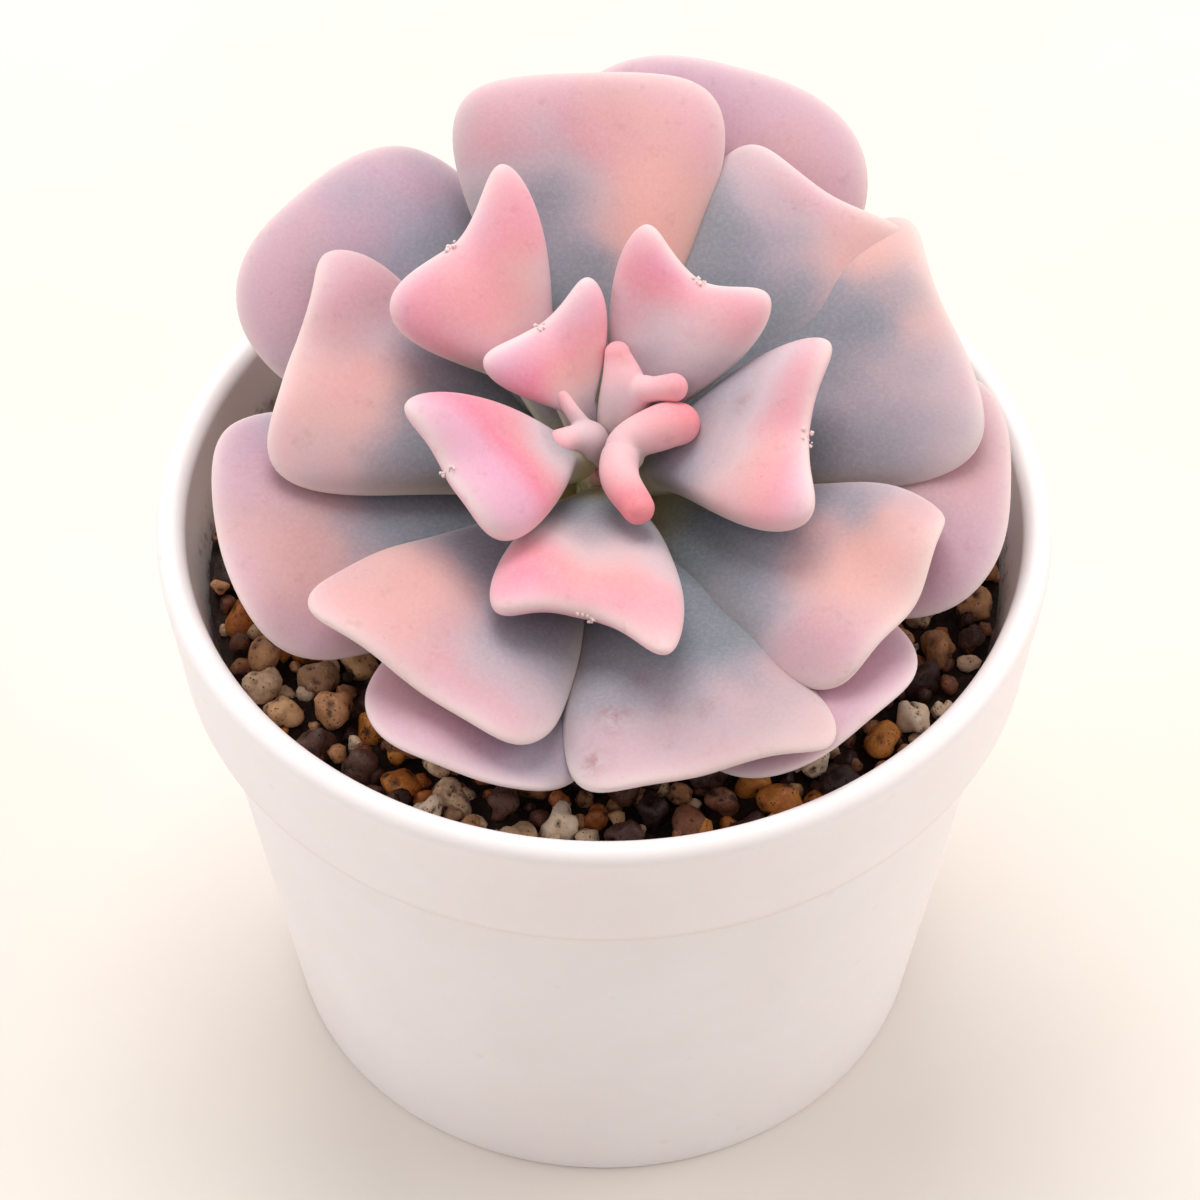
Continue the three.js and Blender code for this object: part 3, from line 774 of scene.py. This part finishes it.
# Brown and pink marks on the skin: across, along, size in mm and depth
scarSpots = dict(
    middle7=((-0.55, 0.8, 1.6, 1.0), (-0.78, 0.9, 1.2, 0.9), (-0.3, 0.72, 1.0, 0.8), (0.1, 0.86, 1.3, 0.5)),
    inner3=((0.28, 0.74, 0.9, 0.7),),
    middle4=((0.1, 0.5, 0.8, 0.4),),
    outer4=((0.4, 0.7, 0.9, 0.5),),
)


# How marked the skin is: the sum of bell curves round the leaf's scars
def scarField(marks, leaf, name):
    field = np.zeros(len(marks["across"]))
    for across, along, size, depth in scarSpots.get(name, ()):
        aside = (marks["across"] - across) * leaf["width"] / 2
        ahead = (marks["along"] - along) * leaf["length"]
        field += depth * np.exp(-(np.hypot(aside, ahead) / size) ** 2)
    return field


def makeLeaves():
    for tierName, rows in leafRows.items():
        tier = tiers[tierName]
        skin = leafSkin(tierName)
        for number, leaf in enumerate(rows, 1):
            points, faces, marks = leafSurface(leaf, tier)
            marks["scrap"] = np.zeros(len(points))
            if tierName == "inner":
                bits, bitFaces = scrapSurface(leaf, tier, number)
                faces = Faces(faces, bitFaces + len(points))
                points = np.vstack([points, bits])
                marks = {label: np.append(values, np.ones(len(bits))) for label, values in marks.items()}
            for name in ("grey", "lean", "peach", "side"):
                marks[name] = np.full(len(points), leaf[name])
            marks["scar"] = scarField(marks, leaf, f"{tierName}{number}")
            node = f"leaf_{tierName}_{number}"
            addPiece(f"{tierName}Leaf{number}", points, faces, skin, [node], f"leaf_{tierName}", marks)


makeLeaves()
print("leaves made")


# Heart leaves: the youngest are stubby, so each is a few fat limbs. A limb's points give its path
# and its thickness: x, y, z and radius.
heartSize = dict(steps=40, sides=32, domeSteps=8, sideways=(0.3, 0.9, 0.2), voxel=0.16, softening=10)
heartLimbs = dict(
    heartLeaf1=dict(centre=(1.6, 1.6, 77.5), grey=0.62, peach=0.3, limbs=[
        [(0.5, 0.4, 74, 1.0), (1.5, 1.4, 78, 2.3), (1.9, 3.2, 81.3, 2.3), (1.3, 5.2, 84, 1.3)],
        [(1.8, 1.4, 78.5, 1.7), (3.4, 2.2, 81.6, 1.6), (5.0, 1.6, 82.8, 1.25), (6.8, 1.3, 83.3, 1.45)],
    ]),
    heartLeaf2=dict(centre=(2.2, -3.0, 78), grey=0.35, peach=0.35, limbs=[
        [(0.9, -1.0, 73.8, 1.1), (1.7, -2.0, 76.2, 1.5), (2.2, -3.2, 78.4, 1.8)],
        [(7.3, -1.05, 80.6, 2.15), (5.6, -1.6, 80.7, 2.3), (2.2, -2.9, 79.6, 1.95), (1.5, -6.7, 79.1, 1.95),
         (3.3, -10.6, 78.8, 1.65)],
    ]),
    heartLeaf3=dict(centre=(-1.4, -0.5, 77.8), grey=0.6, peach=0.3, limbs=[
        [(-0.5, -0.3, 74, 0.9), (-1.5, -1.0, 77.9, 2.1), (-3.0, -1.8, 79.2, 1.4), (-4.6, -2.8, 79.6, 1.4)],
        [(-1.5, -0.2, 78, 1.1), (-3.0, 0.7, 80.2, 0.8), (-4.2, 1.9, 81.4, 0.75)],
    ]),
)


# A smooth path through points that are evenly spaced in its parameter, by cubic pieces whose
# slopes are half the step between each point's neighbours
def smoothPath(points, steps):
    points = np.asarray(points, float)
    padded = np.vstack([2 * points[0] - points[1], points, 2 * points[-1] - points[-2]])
    place = np.linspace(0, len(points) - 1, steps)
    first = np.minimum(place.astype(int), len(points) - 2)
    s = (place - first)[:, None]
    before, start, end, after = [padded[first + shift] for shift in range(4)]
    return 0.5 * (2 * start + (end - before) * s + (2 * before - 5 * start + 4 * end - after) * s ** 2
                  + (3 * start - before - 3 * end + after) * s ** 3)


# A limb: round sections across a path, closed by a dome at each end that is as long as its radius
def limb(points):
    h = heartSize
    path = smoothPath(points, h["steps"])
    ways = unit(np.gradient(path[:, :3], axis=0))
    domes = np.radians(np.linspace(0, 90, h["domeSteps"], endpoint=False))
    first = np.column_stack([path[0, :3] - ways[0] * path[0, 3] * np.cos(domes)[:, None],
                             path[0, 3] * np.sin(domes)])
    last = np.column_stack([path[-1, :3] + ways[-1] * path[-1, 3] * np.cos(domes)[::-1, None],
                            path[-1, 3] * np.sin(domes)[::-1]])
    spine = np.vstack([first, path, last])
    along = unit(np.gradient(spine[:, :3], axis=0))
    side = unit(np.cross(along, h["sideways"]))
    up = np.cross(side, along)
    angles = np.linspace(0, 2 * np.pi, h["sides"], endpoint=False)[:, None]
    rings = spine[1:-1, None, :3] + spine[1:-1, None, 3:] * (
        side[1:-1, None] * np.cos(angles) + up[1:-1, None] * np.sin(angles))
    _, quads, caps = turned(np.zeros((len(spine), 2)), h["sides"])
    return np.vstack([rings.reshape(-1, 3), spine[:1, :3], spine[-1:, :3]]), quads, caps


def fuse(piece, voxel, softening):  # joins a piece's bodies in one skin and rounds their joins
    remesh = piece.modifiers.new("fuse", "REMESH")
    remesh.mode = "VOXEL"
    remesh.voxel_size = voxel * mm
    remesh.use_smooth_shade = True
    smooth = piece.modifiers.new("soften", "SMOOTH")
    smooth.iterations = softening
    fused = bpy.data.meshes.new_from_object(piece.evaluated_get(bpy.context.evaluated_depsgraph_get()))
    piece.modifiers.clear()
    old, piece.data = piece.data, fused
    bpy.data.meshes.remove(old)
    fused.shade_smooth()


def makeHeart():
    skin = leafSkin("heart")
    for number, (name, leaf) in enumerate(heartLimbs.items(), 1):
        parts, groups, base = [], [], 0
        for row in leaf["limbs"]:
            points, quads, caps = limb(row)
            parts.append(points)
            groups += [quads + base, caps + base]
            base += len(points)
        node = f"leaf_heart_{number}"
        piece = addPiece(name, np.vstack(parts), Faces(*groups), skin, [node], "leaf_heart")
        fuse(piece, heartSize["voxel"], heartSize["softening"])
        mesh = piece.data
        points = np.empty(len(mesh.vertices) * 3)
        mesh.vertices.foreach_get("co", points)
        distance = np.linalg.norm(points.reshape(-1, 3) / mm - leaf["centre"], axis=1)
        ones = np.ones(len(distance))
        along = distance / distance.max()
        writeMarks(mesh, dict(along=along, grey=ones * leaf["grey"], peach=ones * leaf["peach"]))


makeHeart()
print("heart made")


# Floor, light and camera

studio = dict(floorReach=1.5, worldLight=0.6, worldTone="fff9f5", lampWidth=0.5, lampAim=0.06)  # metres
floorTones = ("ebe5de", "f1ece6")
lamps = dict(
    topLight=dict(place=(-0.05, 0.3, 0.75), power=3.5, tone="fffcf8"),
    leftLight=dict(place=(-0.65, 0, 0.4), power=1.1, tone="fbfcff"),
    rightLight=dict(place=(0.65, 0.05, 0.4), power=1.6, tone="fffaf5"),
)
cameraSetup = dict(place=(0.0, -0.3378, 0.4386), tilt=41.23, turn=0.07, lens=150, sensor=36)


def makeFloor():
    finish = Finish("paleFloor", {"Specular IOR Level": 0.2})
    cloud = finish.noise(60, 4)
    colour = cloud.colours((0.3, tone(floorTones[0])), (0.7, tone(floorTones[1])))
    material = finish.feed(colour=colour, roughness=0.75 + 0.1 * cloud)
    reach = studio["floorReach"] / mm
    corners = np.array([[-reach, -reach, 0], [reach, -reach, 0], [reach, reach, 0], [-reach, reach, 0]])
    floor = addPiece("floor", corners, np.array([[0, 1, 2, 3]]), material)


def addLamp(name, lamp):
    data = bpy.data.lights.new(name, "AREA")
    data.shape = "DISK"
    data.size = studio["lampWidth"]
    data.energy = lamp["power"]
    data.color = tone(lamp["tone"])[:3]
    light = bpy.data.objects.new(name, data)
    bpy.context.collection.objects.link(light)
    light.location = lamp["place"]
    aim = Vector((0, 0, studio["lampAim"])) - light.location
    light.rotation_euler = aim.to_track_quat("-Z", "Y").to_euler()


def makeStudio():
    makeFloor()
    for name, lamp in lamps.items():
        addLamp(name, lamp)
    world = bpy.data.worlds.new("studioWorld")
    world.use_nodes = True
    sky = world.node_tree.nodes["Background"].inputs
    sky["Color"].default_value = tone(studio["worldTone"])
    sky["Strength"].default_value = studio["worldLight"]
    bpy.context.scene.world = world
    bpy.context.scene.view_settings.view_transform = "Standard"


def makeCamera():
    c = cameraSetup
    lens = bpy.data.cameras.new("camera")
    lens.lens = c["lens"]
    lens.sensor_width = c["sensor"]
    camera = bpy.data.objects.new("camera", lens)
    camera.location = c["place"]
    camera.rotation_euler = (math.radians(c["tilt"]), 0, math.radians(c["turn"]))
    bpy.context.collection.objects.link(camera)
    bpy.context.scene.camera = camera


makeStudio()
makeCamera()
print("studio made")
